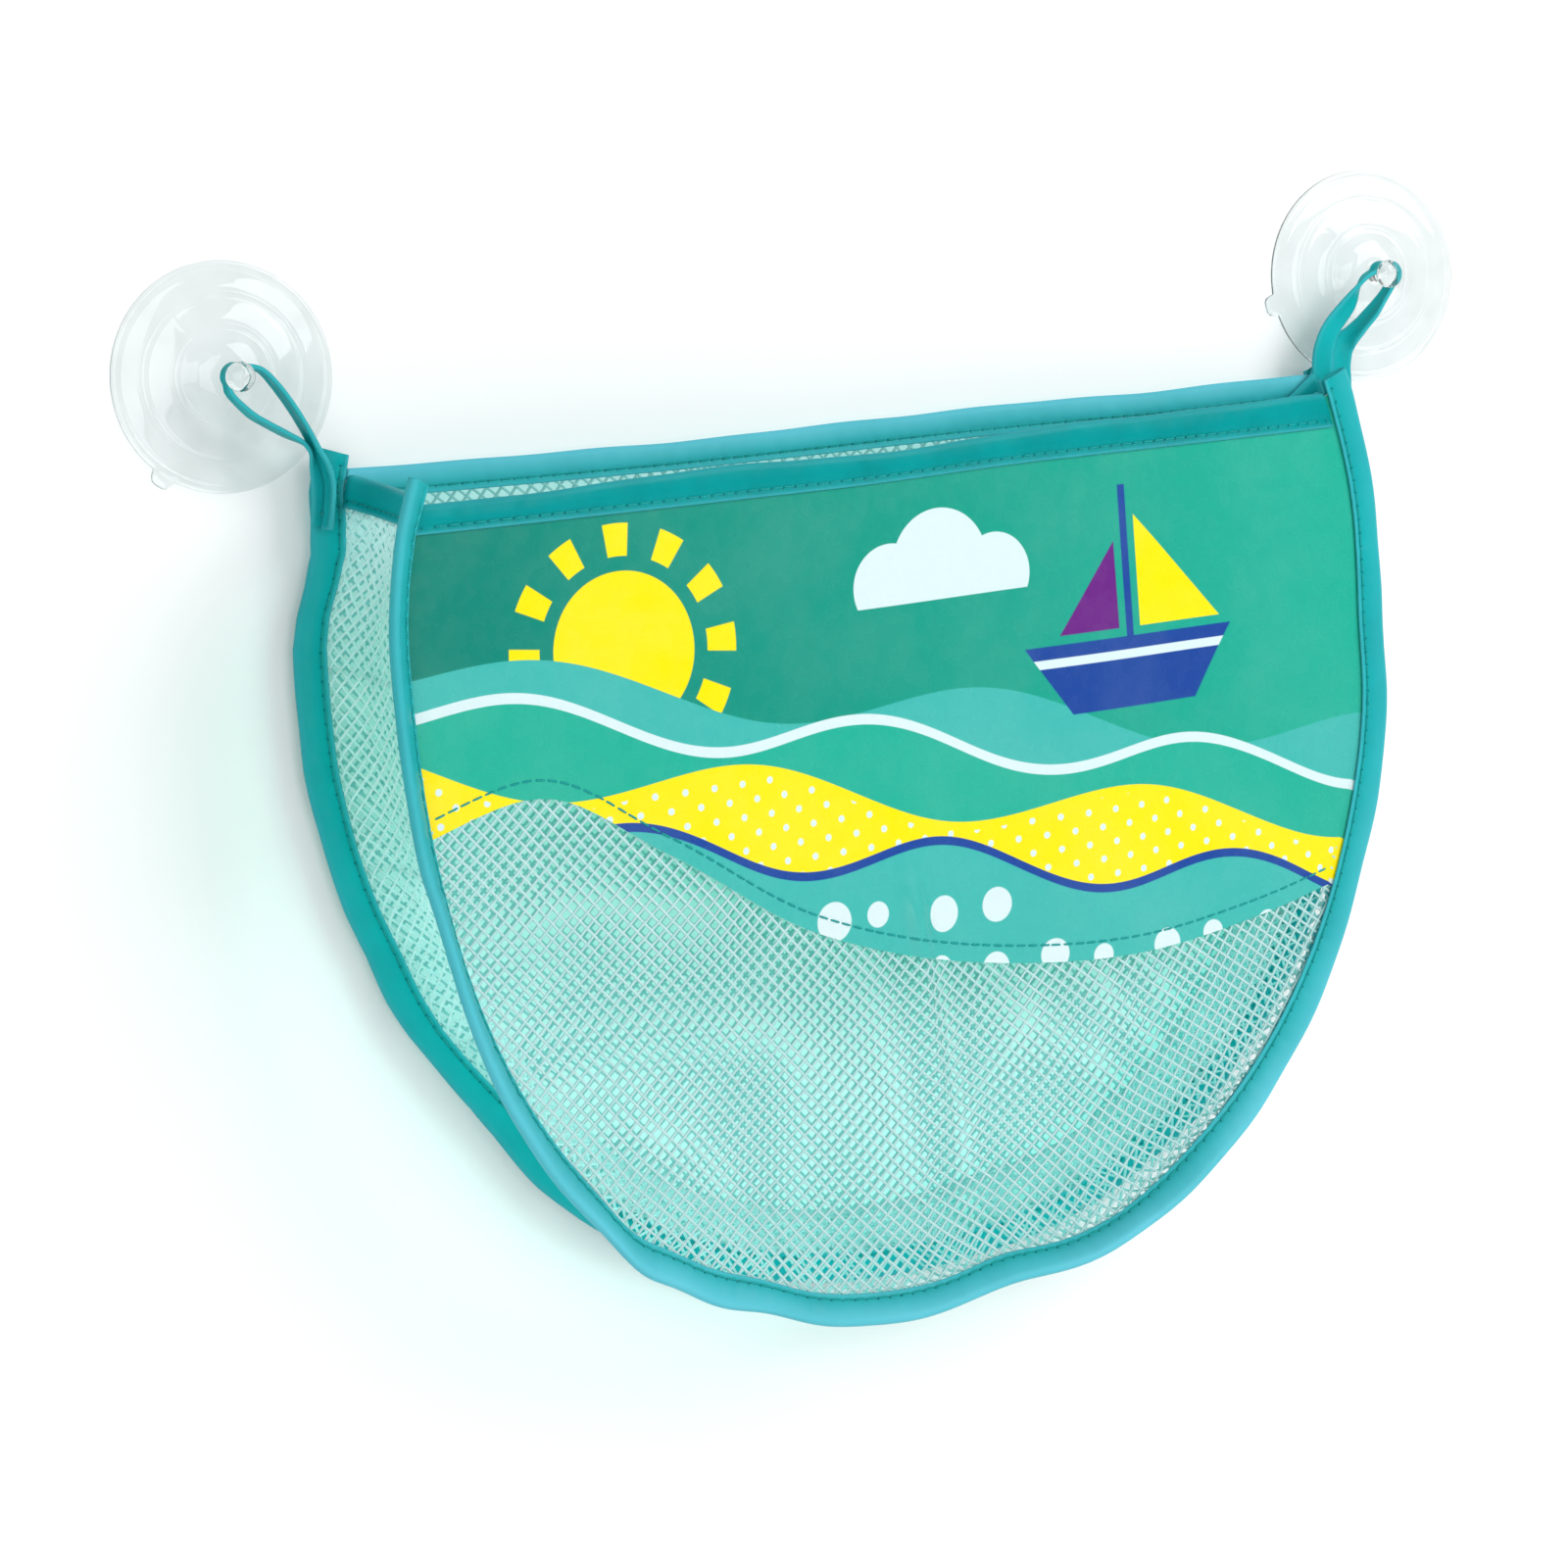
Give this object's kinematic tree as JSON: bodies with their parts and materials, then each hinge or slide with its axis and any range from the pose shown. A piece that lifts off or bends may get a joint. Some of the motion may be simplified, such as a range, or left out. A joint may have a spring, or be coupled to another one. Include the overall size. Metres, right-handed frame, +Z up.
{
  "type": "bath toy organizer",
  "caption": "Hanging net bag with a printed front panel and folded bindings, looped over the knobs of clear suction cups to hold bath toys on a tiled wall.",
  "frame": {"origin": "on the wall plane, midway between the centres of the two suction cups", "axes": "+X to the right as seen from the front, +Y into the wall, +Z up"},
  "size_m": [0.505, 0.0812, 0.3712],
  "materials": {
    "clear_pvc": "clear soft moulded, glossy",
    "mesh_net": "open woven mesh, pale mint",
    "printed_pvc": "glossy printed sheet",
    "teal_pvc": "glossy folded tape",
    "thread": "sewing thread"
  },
  "bodies": {
    "wall_cups": {"left_suction_cup": "clear_pvc", "right_suction_cup": "clear_pvc"},
    "bag_back": {"back_net": "mesh_net", "back_top_binding": "teal_pvc", "back_edge_binding": "teal_pvc", "back_top_seam_thread": "thread", "back_edge_seam_thread": "thread", "gusset_net": "mesh_net", "gusset_top_binding_left": "teal_pvc", "gusset_top_binding_right": "teal_pvc", "gusset_seam_thread_left": "thread", "gusset_seam_thread_right": "thread", "left_hanging_loop": "teal_pvc", "right_hanging_loop": "teal_pvc", "left_loop_bar_tack": "thread", "right_loop_bar_tack": "thread"},
    "bag_front": {"front_net": "mesh_net", "front_top_binding": "teal_pvc", "front_edge_binding": "teal_pvc", "front_top_seam_thread": "thread", "front_edge_seam_thread": "thread", "print_panel": "printed_pvc", "hem_seam_thread": "thread"}
  },
  "joints": [
    {"name": "bag_swing", "type": "hinge", "parent": "wall_cups", "child": "bag_back", "pos_m": [0, -0.0136, 0], "axis": [-1, 0, 0], "range_deg": [0, 75], "deforming": ["left_hanging_loop", "right_hanging_loop"]},
    {"name": "mouth_fold", "type": "hinge", "parent": "bag_back", "child": "bag_front", "pos_m": [0.18849, -0.02426, -0.09299], "axis": [0.0017, -0.014, 0.9999], "range_deg": [-7, 0], "deforming": ["gusset_net", "gusset_top_binding_left", "gusset_top_binding_right", "gusset_seam_thread_left", "gusset_seam_thread_right"]}
  ]
}
